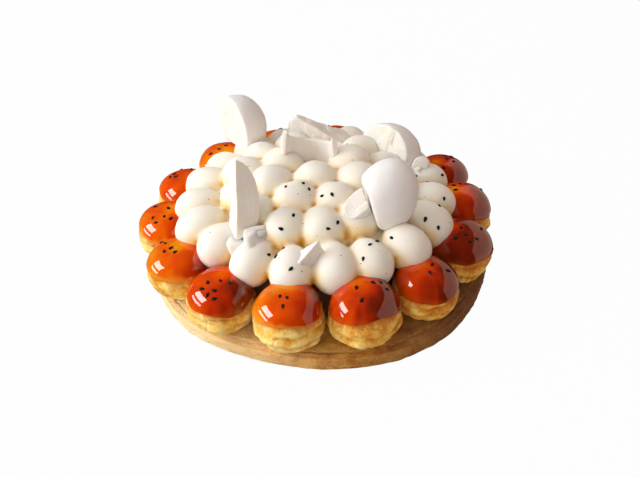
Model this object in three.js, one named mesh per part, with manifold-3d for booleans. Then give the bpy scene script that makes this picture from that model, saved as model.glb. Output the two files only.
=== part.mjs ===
// Saint honore pastry: a flat pastry base, a ring of cream puffs with caramel caps, piped cream
// heaped inside the ring, and broken meringue pieces standing in the cream.
// Millimetres, +Z up. The origin is the centre of the puff ring on the underside of the base.
// Angles round the cake are in degrees from the front (-Y), growing towards +X.
import * as THREE from 'three';
import { mergeVertices } from 'three/addons/utils/BufferGeometryUtils.js';
import { ParametricGeometry } from 'three/addons/geometries/ParametricGeometry.js';
import Module from 'manifold-3d';

const wasm = await Module();
wasm.setup();

// Clear space left between neighbouring pieces.
const GAP = 0.3;

// Pastry base, baked as a disc that sits a little off the centre of the ring.
const BASE_RADIUS = 107;
const BASE_HEIGHT = 9.5;
const BASE_CENTRE = [3.9, -3.8];
const BASE_EDGE = 1.6;
const BASE_SIDES = 36;
const BASE_WAVE = 0.016;
const BASE_LOBES = 4;
const BASE_BULGE_ANGLE = 27;
const BASE_BACK_STRETCH = 0.03;

// Ring of puffs, numbered from the one left of the front towards the right.
const PUFF_COUNT = 14;
const RING_RADIUS = 92.8;
const FIRST_PUFF_ANGLE = -9.6;
const PUFF_RADII = [20, 20.3, 19, 19.8, 19.6, 19, 19.3, 19.6, 19.4, 19.7, 19.8, 19.8, 19.6, 19.6];
const PUFF_HEIGHTS = [31, 31.5, 29, 31, 31, 27.5, 29, 29, 28.5, 30, 28.5, 29, 28.8, 29.5];
const STRAY_PUFF = 5;
const STRAY_OUTSET = 5.5;
const PUFF_SIDES = 12;

// A puff: a small flat foot, a soft fold low on the side, a wide belly and a flattish crown.
const FOOT_SHARE = 0.5;
const BELLY_HEIGHT = 12;
const CROWN_POWER = 3.5;
const FOLD_DEPTH = 0.7;
const FOLD_LEVEL = 0.62;
const FOLD_WIDTH = 0.12;
const FOOT_CORNER = 0.22;
const PUFF_LEAN = 0.085;
const LEAN_SPREAD = 0.025;
const SIDE_LEAN_SPREAD = 0.035;
const LUMPS = [0.018, 0.012, 0.008];

// Caramel cap, a thin skin over the crown of each puff, from its seat to its outside. It thins
// towards its rim. Its reach down the crown is a share of the radius, each puff's own on the side
// away from the middle of the cake and longer on the sides next to other puffs.
const CAP_INSIDE = 0.42;
const CAP_OUTSIDE = 1.62;
const CAP_THINNING = 0.75;
const CAP_THIN_POWER = 4;
const CAP_REACHES = [0.85, 0.84, 0.92, 0.95, 0.95, 0.95, 0.93, 0.92, 0.93, 0.92, 0.92, 0.88, 0.92, 0.92];
const CAP_SIDE_REACH = 0.95;
const CAP_REACH_LIMIT = 0.955;
const CAP_WAVES = [0.012, 0.008];
const CAP_LIP = 0.01;

// Shares of the radius at which the crown, the cap and the room round them have corners.
const CROWN_SHARES = [0.95, 0.82, 0.6, 0];
const CAP_SHARES = [0.82, 0.55, 0];
const ROOM_SHARES = [0.95, 0.82, 0.55, 0];

// Cream, piped in rings of egg-shaped blobs over a low core.
// Each ring: number of blobs, first angle, distance from the middle, height of the blobs' middles,
// half sizes, and the dip of the outer end in degrees.
const CREAM_RINGS = [
  { count: 19, first: 7, radius: 73.5, level: 42, long: 16, wide: 13.2, high: 13, dip: 25 },
  { count: 13, first: 4.5, radius: 47, level: 51.5, long: 15, wide: 13, high: 12.5, dip: 15 },
  { count: 7, first: -28, radius: 27.5, level: 57, long: 14, wide: 13.8, high: 12, dip: 8 },
  { count: 1, first: 0, radius: 4, level: 58, long: 15, wide: 15, high: 13, dip: 0 },
];
// Blobs that lie lower than their ring because meringue is pressed in there: number and drop.
const SUNK_BLOBS = new Map([[25, 8], [36, 9]]);
const BLOB_TAPER = 0.13;
const BLOB_SHIFT = 1.8;
const BLOB_LIFT = 1.1;
const BLOB_TURN = 2;
const BLOB_SPREAD = 0.06;
const BLOB_SIDES = 7;
const BLOB_BANDS = 4;
const BLOB_FACETS = 1.05;
const CORE_RADIUS = 69;
const CORE_SHOULDER = 44;
const CORE_MIDDLE = 54.4;
const CORE_MIDDLE_SHARE = 0.6;
const CORE_CROWN = 60;
const CORE_SIDES = 20;

// Meringue pieces: half sizes across, front to back and up, the middle, the turn about X, Y and Z
// in degrees, and the broken faces, each a direction in the piece's own frame and a distance.
// A hollow piece is a shell of that thickness.
const MERINGUE = [
  { name: 'meringue_left_back', half: [20, 18, 22], at: [-52, 59, 64], turn: [0, -6, 0],
    breaks: [[-0.83, -0.55, 0.06, 3.5], [0, 0, -1, 14]] },
  { name: 'meringue_left_slab', half: [17, 13, 27], at: [-46.6, -47.6, 69.4], turn: [-14, 3, 0],
    breaks: [[0.5, -0.86, 0.05, 1.5], [-0.5, 0.86, 0, 7], [-0.84, -0.54, 0.02, -1.2], [0.2, 0, -1, 20]] },
  { name: 'meringue_middle_shell', half: [19.3, 18, 40], at: [-3.2, 6, 66], turn: [0, 0, 0], hollow: 3.4,
    breaks: [[0, -1, 0, -7], [0.2, 0.81, 1, 16.26], [0, 0, -1, 9]] },
  { name: 'meringue_back_wedge', half: [30, 18, 26], at: [6, 57, 51], turn: [0, 0, 10],
    breaks: [[0.46, 0, 0.89, 11], [-0.5, -0.86, 0.1, 11], [0, 1, 0, 6],
      [-0.95, -0.3, 0, 20], [0, 0, -1, 2]] },
  { name: 'meringue_right_back', half: [22.5, 21, 19], at: [48.5, 36, 53.5], turn: [0, 12, 0],
    breaks: [[-0.74, -0.62, 0.2, 6], [0, 0, -1, 5]] },
  { name: 'meringue_right_dome', half: [18, 15, 24], at: [41, -37, 65.5], turn: [-14, 18, 0],
    breaks: [[-0.81, -0.13, -0.57, 11], [0, 0, -1, 17], [0, 1, 0, 4]] },
  { name: 'meringue_dome_rim', half: [7.5, 6, 13], at: [25, -44.5, 65], turn: [0, 25, 0],
    breaks: [[0.75, 0.2, 0.63, 5.1], [-0.6, -0.7, 0.3, 3], [0, 0, -1, 10]] },
  { name: 'meringue_front_flake', half: [13.5, 10, 11], at: [-3, -71, 53], turn: [0, 0, 0],
    breaks: [[0.55, -0.83, 0.05, 4.6], [-0.6, -0.07, 0.8, 4.8], [0.1, 1, 0.2, 1], [0, 0, -1, 7]] },
  { name: 'meringue_right_chip', half: [6, 5, 6], at: [68.5, 17.5, 54.5], turn: [0, 20, 30],
    breaks: [[-0.6, -0.6, 0.5, 2.5], [0, 0, -1, 5]] },
];
const LARGE_MERINGUE = 14;

// Sesame seeds, pressed halfway into the caramel and the cream. Left of the bare line hardly any
// lie on the cream.
const SEED_HALF = [1.6, 0.95, 0.7];
const SEED_SIDES = 5;
const SEED_SPACING = 4;
const SEED_COVER = 1.25;
const CAP_SEEDS = [3, 5, 3, 6, 4, 5, 2, 2, 2, 3, 5, 6, 5, 7];
const CAP_SEED_DRAWS = 40;
const CAP_SEED_REACH = 0.7;
const CLUSTER_SHIFT = 0.22;
const CLUSTER_SPREAD = 0.5;
const CREAM_SEEDS = 38;
const CREAM_SEED_DRAWS = 320;
const CREAM_SEED_FLOOR = 46;
const CREAM_SEED_BARE_LINE = -30;
const CREAM_SEED_BARE_SHARE = 0.9;
const CREAM_SEED_LOW = 0.35;
const CREAM_SEED_HIGH = 0.95;

const DEGREE = Math.PI / 180;
const UP = new THREE.Vector3(0, 0, 1);
const DOWN = new THREE.Vector3(0, 0, -1);
const ABOVE = 200;
const IN_PLACE = new THREE.Matrix4();

// One fixed draw between -1 and 1 for thing number i and trait number k.
function draw(i, k) {
  const wide = Math.sin(i * 12.9898 + k * 78.233) * 43758.5453;
  return 2 * (wide - Math.floor(wide)) - 1;
}

// Join equal vertices of a closed geometry and drop the triangles that collapse at its poles.
function weld(geometry) {
  const bare = geometry.clone();
  bare.deleteAttribute('normal');
  bare.deleteAttribute('uv');
  const joined = mergeVertices(bare, 1e-4);
  const corners = joined.index.array;
  const kept = [];
  for (let t = 0; t < corners.length; t += 3) {
    const [a, b, c] = corners.slice(t, t + 3);
    if (a !== b && b !== c && c !== a) {
      kept.push(a, b, c);
    }
  }
  joined.setIndex(kept);
  return joined;
}

// A solid to join and cut, from a closed geometry placed by a matrix.
function solidOf(geometry, matrix = IN_PLACE) {
  const placed = weld(geometry).applyMatrix4(matrix);
  const mesh = new wasm.Mesh({
    numProp: 3,
    vertProperties: new Float32Array(placed.attributes.position.array),
    triVerts: new Uint32Array(placed.index.array),
  });
  return new wasm.Manifold(mesh);
}

// The geometry of a solid, moved by a matrix.
function geometryOf(solid, matrix = IN_PLACE) {
  const mesh = solid.getMesh();
  const geometry = new THREE.BufferGeometry();
  geometry.setAttribute('position', new THREE.BufferAttribute(mesh.vertProperties, 3));
  geometry.setIndex(new THREE.BufferAttribute(mesh.triVerts, 1));
  geometry.applyMatrix4(matrix);
  geometry.computeVertexNormals();
  return geometry;
}

// The largest body of a solid: sealed hollows are filled and loose scraps dropped.
function largestBody(solid) {
  const bodies = solid.decompose();
  return bodies.reduce((best, body) => (body.volume() > best.volume() ? body : best));
}

// A mesh with its own material.
function named(name, geometry, colour, roughness) {
  const material = new THREE.MeshStandardMaterial({ color: colour, roughness, metalness: 0 });
  const mesh = new THREE.Mesh(geometry, material);
  mesh.name = name;
  return mesh;
}

// A place on the cake, from an angle, a distance from the middle and a height.
function placeAt(angle, radius, height) {
  const turn = angle * DEGREE;
  return new THREE.Vector3(radius * Math.sin(turn), -radius * Math.cos(turn), height);
}

// Base: a flat disc with a rounded edge and a slightly wavy outline.
function makeBase() {
  const profile = [
    new THREE.Vector2(0, 0),
    new THREE.Vector2(BASE_RADIUS - BASE_EDGE, 0),
    new THREE.Vector2(BASE_RADIUS, BASE_EDGE),
    new THREE.Vector2(BASE_RADIUS, BASE_HEIGHT - BASE_EDGE),
    new THREE.Vector2(BASE_RADIUS - BASE_EDGE, BASE_HEIGHT),
    new THREE.Vector2(0, BASE_HEIGHT),
  ];
  const geometry = new THREE.LatheGeometry(profile, BASE_SIDES).rotateX(Math.PI / 2);
  const position = geometry.attributes.position;
  for (let v = 0; v < position.count; v += 1) {
    const turn = Math.atan2(position.getX(v), -position.getY(v));
    const lobes = BASE_WAVE * Math.cos(BASE_LOBES * (turn - BASE_BULGE_ANGLE * DEGREE));
    const wave = 1 + lobes + BASE_BACK_STRETCH * Math.max(0, -Math.cos(turn));
    position.setX(v, position.getX(v) * wave);
    position.setY(v, position.getY(v) * wave);
  }
  const mesh = named('base', weld(geometry), 0xb98a55, 0.8);
  mesh.position.set(BASE_CENTRE[0], BASE_CENTRE[1], 0);
  return mesh;
}

// One puff's own numbers. Its local -Y points away from the middle of the cake.
function puffTraits(i) {
  const outset = i === STRAY_PUFF ? STRAY_OUTSET : 0;
  return {
    index: i,
    angle: FIRST_PUFF_ANGLE + (i * 360) / PUFF_COUNT,
    ring: RING_RADIUS + outset,
    radius: PUFF_RADII[i],
    height: PUFF_HEIGHTS[i],
    lean: PUFF_LEAN + LEAN_SPREAD * draw(i, 1),
    sideLean: SIDE_LEAN_SPREAD * draw(i, 2),
    phases: [3 * draw(i, 3), 3 * draw(i, 4), 3 * draw(i, 5)],
  };
}

// A point of the crown at a share of the radius, pushed out square to the surface by a lift.
function crownPoint(puff, share, lift) {
  const rise = puff.height - BELLY_HEIGHT;
  const drop = Math.sqrt(1 - share ** CROWN_POWER);
  const steep = (CROWN_POWER / 2) * share ** (CROWN_POWER - 1);
  const slope = (rise * steep) / (puff.radius * drop);
  const length = Math.hypot(slope, 1);
  return [share * puff.radius + (lift * slope) / length, BELLY_HEIGHT + rise * drop + lift / length];
}

// A point of the side at a share of the way from the foot to the belly.
function sidePoint(puff, share) {
  const swell = FOOT_SHARE + (1 - FOOT_SHARE) * Math.sqrt(1 - (1 - share) ** 2);
  const fold = FOLD_DEPTH * Math.exp(-(((share - FOLD_LEVEL) / FOLD_WIDTH) ** 2));
  return [puff.radius * swell - fold, BELLY_HEIGHT * share];
}

// Lumps and the outward lean, which leaves the foot flat.
function settle(puff, turn, radius, height, target) {
  const [a, b, c] = puff.phases;
  const waves = [Math.sin(2 * turn + a), Math.sin(3 * turn + b), Math.sin(5 * turn + c)];
  const lump = 1 + LUMPS[0] * waves[0] + LUMPS[1] * waves[1] + LUMPS[2] * waves[2];
  const x = radius * lump * Math.cos(turn);
  const y = radius * lump * Math.sin(turn);
  const sink = ((puff.lean * y - puff.sideLean * x) * height) / puff.height;
  target.set(x + puff.sideLean * height, y - puff.lean * height, height + sink);
}

// A closed surface turned round a puff's axis, from a list of profile functions of the turn.
function turned(puff, profile) {
  const shape = (u, v, target) => {
    const turn = 2 * Math.PI * u;
    const [radius, height] = profile[Math.round(v * (profile.length - 1))](turn);
    settle(puff, turn, radius, height, target);
  };
  return weld(new ParametricGeometry(shape, PUFF_SIDES, profile.length - 1));
}

function puffGeometry(puff) {
  const profile = [
    () => [0, 0],
    () => sidePoint(puff, 0),
    () => sidePoint(puff, FOOT_CORNER),
    () => sidePoint(puff, FOLD_LEVEL),
    () => sidePoint(puff, 1),
    ...CROWN_SHARES.map((share) => () => crownPoint(puff, share, 0)),
  ];
  return turned(puff, profile);
}

// How far the cap reaches down the crown, as a share of the radius.
function capReach(puff, turn) {
  const [a, b] = puff.phases;
  const wave = CAP_WAVES[0] * Math.sin(2 * turn + b) + CAP_WAVES[1] * Math.sin(5 * turn + a);
  const outer = CAP_REACHES[puff.index];
  const even = outer + (CAP_SIDE_REACH - outer) * Math.cos(turn) ** 2;
  return Math.min(even + wave, CAP_REACH_LIMIT);
}

// A point of the cap's outside at a share of the puff's radius.
function capPoint(puff, share) {
  return crownPoint(puff, share, CAP_OUTSIDE - CAP_THINNING * share ** CAP_THIN_POWER);
}

function capGeometry(puff) {
  const profile = [
    () => crownPoint(puff, 0, CAP_INSIDE),
    () => crownPoint(puff, CROWN_SHARES[2], CAP_INSIDE),
    () => crownPoint(puff, CROWN_SHARES[1], CAP_INSIDE),
    (turn) => crownPoint(puff, capReach(puff, turn), CAP_INSIDE),
    (turn) => capPoint(puff, capReach(puff, turn) + CAP_LIP),
    ...CAP_SHARES.map((share) => () => capPoint(puff, share)),
  ];
  return turned(puff, profile);
}

// The room a puff and its cap take up, with the gap round them.
function puffRoom(puff) {
  const profile = [
    () => [0, 0],
    () => [puff.radius * FOOT_SHARE + GAP, 0],
    () => [puff.radius + GAP, BELLY_HEIGHT / 2],
    ...ROOM_SHARES.map((share) => () => crownPoint(puff, share, CAP_OUTSIDE + 1.5 * GAP)),
  ];
  return turned(puff, profile);
}

// The frame of a puff on the ring.
function puffMatrix(puff) {
  const turn = new THREE.Matrix4().makeRotationZ(puff.angle * DEGREE);
  return turn.setPosition(placeAt(puff.angle, puff.ring, BASE_HEIGHT + GAP));
}

// Blobs of cream: each has a middle, half sizes and a turn. The fat end points outwards.
function creamBlobs() {
  const blobs = [];
  for (const ring of CREAM_RINGS) {
    for (let i = 0; i < ring.count; i += 1) {
      const k = blobs.length;
      const loose = ring.count > 1 ? 1 : 0;
      const angle = ring.first + (i * 360) / ring.count + loose * BLOB_TURN * draw(k, 11);
      const size = 1 + BLOB_SPREAD * draw(k, 12);
      const radius = ring.radius + loose * BLOB_SHIFT * draw(k, 13);
      const level = ring.level + BLOB_LIFT * draw(k, 14) - (SUNK_BLOBS.get(k) ?? 0);
      const dip = new THREE.Matrix4().makeRotationX(ring.dip * DEGREE);
      const turn = new THREE.Matrix4().makeRotationZ(angle * DEGREE).multiply(dip);
      const matrix = turn.setPosition(placeAt(angle, radius, level));
      const half = [ring.wide * size, ring.long * size, ring.high * size];
      blobs.push({ matrix, inverse: matrix.clone().invert(), half });
    }
  }
  return blobs;
}

// Where a unit direction meets a blob, in the frame of the cake.
function blobPoint(blob, direction) {
  const swell = 1 - BLOB_TAPER * direction.y;
  const local = new THREE.Vector3(
    direction.x * blob.half[0] * swell,
    direction.y * blob.half[1],
    direction.z * blob.half[2] * swell,
  );
  return local.applyMatrix4(blob.matrix);
}

// How deep a place lies in a blob: under 1 inside, 1 on the skin, more outside.
function blobDepth(blob, place) {
  const local = place.clone().applyMatrix4(blob.inverse);
  const y = local.y / blob.half[1];
  const swell = 1 - BLOB_TAPER * THREE.MathUtils.clamp(y, -1, 1);
  return Math.hypot(local.x / (blob.half[0] * swell), y, local.z / (blob.half[2] * swell));
}

function blobGeometry(blob) {
  const geometry = new THREE.SphereGeometry(BLOB_FACETS, BLOB_SIDES, BLOB_BANDS).rotateX(Math.PI / 2);
  const position = geometry.attributes.position;
  for (let v = 0; v < position.count; v += 1) {
    const place = blobPoint(blob, new THREE.Vector3().fromBufferAttribute(position, v));
    position.setXYZ(v, place.x, place.y, place.z);
  }
  return geometry;
}

// Core under the blobs, from the base up.
function coreGeometry() {
  const floor = BASE_HEIGHT + GAP;
  const profile = [
    new THREE.Vector2(0, floor),
    new THREE.Vector2(CORE_RADIUS, floor),
    new THREE.Vector2(CORE_RADIUS, CORE_SHOULDER),
    new THREE.Vector2(CORE_MIDDLE_SHARE * CORE_RADIUS, CORE_MIDDLE),
    new THREE.Vector2(0, CORE_CROWN),
  ];
  return new THREE.LatheGeometry(profile, CORE_SIDES).rotateX(Math.PI / 2);
}

function meringueMatrix(piece) {
  const [x, y, z] = piece.turn.map((angle) => angle * DEGREE);
  const matrix = new THREE.Matrix4().makeRotationFromEuler(new THREE.Euler(x, y, z));
  return matrix.setPosition(...piece.at);
}

// A meringue piece grown by a margin: an egg, hollow or full, cut along its broken faces.
function meringueSolid(piece, grow) {
  const half = piece.half.map((size) => size + grow);
  const longest = Math.max(...half);
  const ball = new THREE.IcosahedronGeometry(1, longest > LARGE_MERINGUE ? 2 : 1);
  let solid = solidOf(ball.clone().scale(...half));
  if (piece.hollow) {
    const inside = piece.half.map((size) => size - piece.hollow - grow);
    solid = solid.subtract(solidOf(ball.clone().scale(...inside)));
  }
  const reach = 4 * longest;
  for (const [x, y, z, distance] of piece.breaks) {
    const facing = new THREE.Vector3(x, y, z).normalize();
    const turn = new THREE.Quaternion().setFromUnitVectors(UP, facing);
    const middle = facing.clone().multiplyScalar(distance + grow + reach / 2);
    const matrix = new THREE.Matrix4().compose(middle, turn, new THREE.Vector3(1, 1, 1));
    solid = solid.subtract(solidOf(new THREE.BoxGeometry(reach, reach, reach), matrix));
  }
  return largestBody(solid);
}

// How deep a place lies in the whole egg of a meringue piece: 1 on its skin.
function meringueDepth(piece, place) {
  const local = place.clone().applyMatrix4(meringueMatrix(piece).invert());
  return Math.hypot(local.x / piece.half[0], local.y / piece.half[1], local.z / piece.half[2]);
}

// A seed lying flat on a surface, its long side along a heading.
function seedSolid(place, facing, heading) {
  const flat = new THREE.Quaternion().setFromUnitVectors(UP, facing);
  const spin = new THREE.Quaternion().setFromAxisAngle(UP, heading);
  const matrix = new THREE.Matrix4().compose(place, flat.multiply(spin), new THREE.Vector3(...SEED_HALF));
  return solidOf(new THREE.SphereGeometry(1, SEED_SIDES, 2).rotateX(Math.PI / 2), matrix);
}

// The spot of a mesh's skin that a ray meets first.
function spotOn(mesh, from, direction) {
  mesh.updateMatrixWorld(true);
  return new THREE.Raycaster(from, direction).intersectObject(mesh)[0];
}

const group = new THREE.Group();
group.name = 'saint_honore';
group.add(makeBase());

const puffs = PUFF_RADII.map((radius, i) => puffTraits(i));
const blobs = creamBlobs();

// Seeds of one cap: a loose cluster, kept off the cream.
function capSeeds(puff, cap) {
  const seeds = [];
  for (let k = 0; seeds.length < CAP_SEEDS[puff.index] && k < CAP_SEED_DRAWS; k += 1) {
    const key = puff.index * CAP_SEED_DRAWS + k;
    const x = CLUSTER_SHIFT * draw(puff.index, 21) + CLUSTER_SPREAD * draw(key, 23);
    const y = CLUSTER_SHIFT * draw(puff.index, 22) + CLUSTER_SPREAD * draw(key, 24);
    const share = Math.hypot(x, y);
    const place = new THREE.Vector3();
    const spot = capPoint(puff, Math.min(share, CAP_SEED_REACH));
    settle(puff, Math.atan2(y, x), ...spot, place);
    place.applyMatrix4(cap.matrixWorld);
    const crowded = seeds.some((other) => other.place.distanceTo(place) < SEED_SPACING);
    const covered = blobs.some((blob) => blobDepth(blob, place) < SEED_COVER);
    if (share < CAP_SEED_REACH && !crowded && !covered) {
      const hit = spotOn(cap, place.clone().setZ(ABOVE), DOWN);
      const facing = hit.face.normal.clone().transformDirection(cap.matrixWorld);
      seeds.push({ place, spot: hit.point, facing, heading: Math.PI * draw(key, 25) });
    }
  }
  return seeds;
}

// Puffs on their seats, each with its cap and the seeds stuck in the caramel.
puffs.forEach((puff, i) => {
  const number = String(i + 1).padStart(2, '0');
  const seat = new THREE.Group();
  seat.applyMatrix4(puffMatrix(puff));
  const body = named(`puff_${number}`, puffGeometry(puff), 0xd9ad6c, 0.7);
  const cap = named(`caramel_${number}`, capGeometry(puff), 0xa8481a, 0.12);
  seat.add(body, cap);
  group.add(seat);
  seat.updateMatrixWorld(true);
  let skin = solidOf(cap.geometry, cap.matrixWorld);
  for (const seed of capSeeds(puff, cap)) {
    skin = skin.add(seedSolid(seed.spot, seed.facing, seed.heading));
  }
  cap.geometry = geometryOf(largestBody(skin), cap.matrixWorld.clone().invert());
});

// Cream: the core and the blobs joined, cut clear of the puffs, the caps and the meringue.
let heap = solidOf(coreGeometry());
for (const blob of blobs) {
  heap = heap.add(solidOf(blobGeometry(blob)));
}
for (const puff of puffs) {
  heap = heap.subtract(solidOf(puffRoom(puff), puffMatrix(puff)));
}
for (const piece of MERINGUE) {
  const matrix = meringueMatrix(piece);
  heap = heap.subtract(solidOf(geometryOf(meringueSolid(piece, GAP)), matrix));
  const mesh = named(piece.name, geometryOf(meringueSolid(piece, 0)), 0xeeebe7, 0.6);
  mesh.applyMatrix4(matrix);
  group.add(mesh);
}
heap = largestBody(heap);
const cream = named('cream', geometryOf(heap), 0xf5eedd, 0.45);
group.add(cream);

// Seeds of the cream: draws over the blobs, kept where the skin shows and is clear of other pieces.
const creamSeeds = [];
for (let k = 0; k < CREAM_SEED_DRAWS && creamSeeds.length < CREAM_SEEDS; k += 1) {
  const own = k % blobs.length;
  const lift = THREE.MathUtils.lerp(CREAM_SEED_LOW, CREAM_SEED_HIGH, Math.abs(draw(k, 31)));
  const turn = Math.PI * draw(k, 32);
  const level = Math.sqrt(1 - lift ** 2);
  const direction = new THREE.Vector3(level * Math.cos(turn), level * Math.sin(turn), lift);
  const place = blobPoint(blobs[own], direction);
  const middle = new THREE.Vector3().setFromMatrixPosition(blobs[own].matrix);
  const facing = place.clone().sub(middle).normalize();
  const buried = blobs.some((blob, j) => j !== own && blobDepth(blob, place) < SEED_COVER);
  const hidden = MERINGUE.some((piece) => meringueDepth(piece, place) < SEED_COVER);
  const crowded = creamSeeds.some((other) => other.distanceTo(place) < SEED_SPACING);
  const bare = place.x < CREAM_SEED_BARE_LINE && Math.abs(draw(k, 34)) < CREAM_SEED_BARE_SHARE;
  const hit = spotOn(cream, place.clone().addScaledVector(facing, SEED_SPACING), facing.clone().negate());
  if (hit && place.z > CREAM_SEED_FLOOR && !buried && !hidden && !crowded && !bare) {
    creamSeeds.push(place);
    heap = heap.add(seedSolid(hit.point, hit.face.normal, Math.PI * draw(k, 33)));
  }
}
cream.geometry = geometryOf(largestBody(heap));

export default group;
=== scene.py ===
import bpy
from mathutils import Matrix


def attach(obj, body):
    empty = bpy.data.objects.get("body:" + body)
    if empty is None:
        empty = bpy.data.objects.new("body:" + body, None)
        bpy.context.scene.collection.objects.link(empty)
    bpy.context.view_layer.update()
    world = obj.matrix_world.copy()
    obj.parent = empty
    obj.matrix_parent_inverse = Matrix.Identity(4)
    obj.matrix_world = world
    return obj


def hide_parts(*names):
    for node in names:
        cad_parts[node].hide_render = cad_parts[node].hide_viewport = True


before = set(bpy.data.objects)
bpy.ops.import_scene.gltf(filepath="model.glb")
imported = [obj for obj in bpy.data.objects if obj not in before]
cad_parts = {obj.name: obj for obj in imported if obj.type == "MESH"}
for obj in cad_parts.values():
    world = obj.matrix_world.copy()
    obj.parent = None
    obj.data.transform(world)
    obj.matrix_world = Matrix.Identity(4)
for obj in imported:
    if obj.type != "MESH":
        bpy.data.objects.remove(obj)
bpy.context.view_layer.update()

from types import SimpleNamespace

import bpy
import numpy as np
from mathutils import Matrix, Vector

# Base: a flat disc of rolled pastry baked to a tan crust, which carries the whole cake.
# Its top layer has shrunk back from the edge in the oven and leaves a ledge with a dry crack and pale flakes.
# Its colour holds painted light, paler on the left and on the flakes' edge, and painted shade, darker on the
# right and in the crack.
MM = 0.001
BASE_RADIUS = 107 * MM
BASE_HEIGHT = 9.5 * MM
BASE_EDGE = 1.6 * MM
BASE_CENTRE = np.array([3.9, -3.8, 0.0]) * MM
BASE_TURNS = 800
BASE_WAVE = 0.016
BASE_WAVE_TURN = np.radians(27)
BASE_BACK_SWELL = 0.03
LEDGE_WIDTH = 5.0 * MM
LEDGE_DROP = 1.3 * MM
CRACK_DEPTH = 0.9 * MM
CRACK_WIDTH = 0.45 * MM
BASE_PALE = (0.93, 0.59, 0.15)
BASE_TAN = (0.81, 0.43, 0.07)
BASE_BROWN = (0.48, 0.21, 0.05)
BASE_SIDE = [(0.0, (0.44, 0.15, 0.022)), (0.45, (0.74, 0.33, 0.05)), (1.0, (0.90, 0.50, 0.12))]
BASE_CRACK_SHADE = (0.17, 0.065, 0.018)
BASE_FLOUR_AND_LIGHT = (0.97, 0.77, 0.43)
BASE_SHADE_RIGHT = (0.175, 0.085, 0.05)


def grain(place, size, seed):
    """Smooth random waves from -1 to 1: a fixed draw on each corner of a lattice of this cell size,
    blended across the cell by 3t^2 - 2t^3 along each axis."""
    cell = place / size
    low = np.floor(cell)
    share = cell - low
    share = share * share * (3 - 2 * share)
    total = np.zeros(place.shape[:-1])
    for corner in np.ndindex(2, 2, 2):
        key = (low + corner) @ np.array([12.9898, 78.233, 37.719]) + 4.1414 * seed
        wide = np.sin(key) * 43758.5453
        weight = np.where(corner, share, 1 - share).prod(-1)
        total += weight * (2 * (wide - np.floor(wide)) - 1)
    return total


def rise_between(low, high, value):
    """A step from 0 to 1 as the value goes from low to high, eased at both ends by 3t^2 - 2t^3."""
    share = np.clip((value - low) / (high - low), 0, 1)
    return share * share * (3 - 2 * share)


def bell(offset, width):
    """A bell curve, 1 at no offset and falling with e to the minus square of offset over width."""
    return np.exp(-((offset / width) ** 2))


def whole_turn(count):
    """A row of angles spread evenly round a turn."""
    return np.linspace(0, 2 * np.pi, count, endpoint=False)[None]


def round_axis(radius, turn, height):
    """Places at these distances from an upright axis, at these angles and heights."""
    return np.stack([radius * np.cos(turn), radius * np.sin(turn), height + 0 * turn], -1)


def section_of(radius, height):
    """A section's radii and heights as columns, with the outward and upward parts of its normal."""
    out, up = np.gradient(height), -np.gradient(radius)
    length = np.hypot(out, up)
    return (row[:, None] for row in (radius, height, out / length, up / length))


def wrapped(name, place, **traits):
    """A mesh of one or more closed skins from a grid of places, (skins, rows, columns, 3). Rows run from one
    pole to the other, columns run round and join up, and the first and last rows are single points.
    Each trait is one number for each place of the grid, kept as a point attribute."""
    rows, columns = place.shape[-3:-1]
    place = place.reshape(-1, rows, columns, 3)
    column = np.arange(columns)
    after = np.roll(column, -1)
    low = 1 + columns * np.arange(rows - 3)[:, None]
    quads = np.stack([low + column, low + after, low + columns + after, low + columns + column], -1)
    top = 1 + columns * (rows - 3)
    last = top + columns
    start = np.stack([0 * column, 1 + after, 1 + column], -1)
    end = np.stack([top + column, top + after, 0 * column + last], -1)
    shift = (last + 1) * np.arange(len(place))[:, None, None]
    faces = (quads.reshape(1, -1, 4) + shift).reshape(-1, 4).tolist()
    faces += (np.concatenate([start, end])[None] + shift).reshape(-1, 3).tolist()

    def packed(grid):
        ring = grid[:, 1:-1].reshape(len(grid), -1, grid.shape[-1])
        return np.concatenate([grid[:, :1, 0], ring, grid[:, -1:, 0]], 1).reshape(-1, grid.shape[-1])

    mesh = bpy.data.meshes.new(name)
    mesh.from_pydata(packed(place).tolist(), [], faces)
    for trait, value in traits.items():
        values = packed(np.broadcast_to(value, place.shape[:-1]).reshape(*place.shape[:-1], 1))
        mesh.attributes.new(trait, "FLOAT", "POINT").data.foreach_set("value", values.ravel())
    mesh.shade_smooth()
    piece = bpy.data.objects.new(name, mesh)
    bpy.context.scene.collection.objects.link(piece)
    return piece


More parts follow.
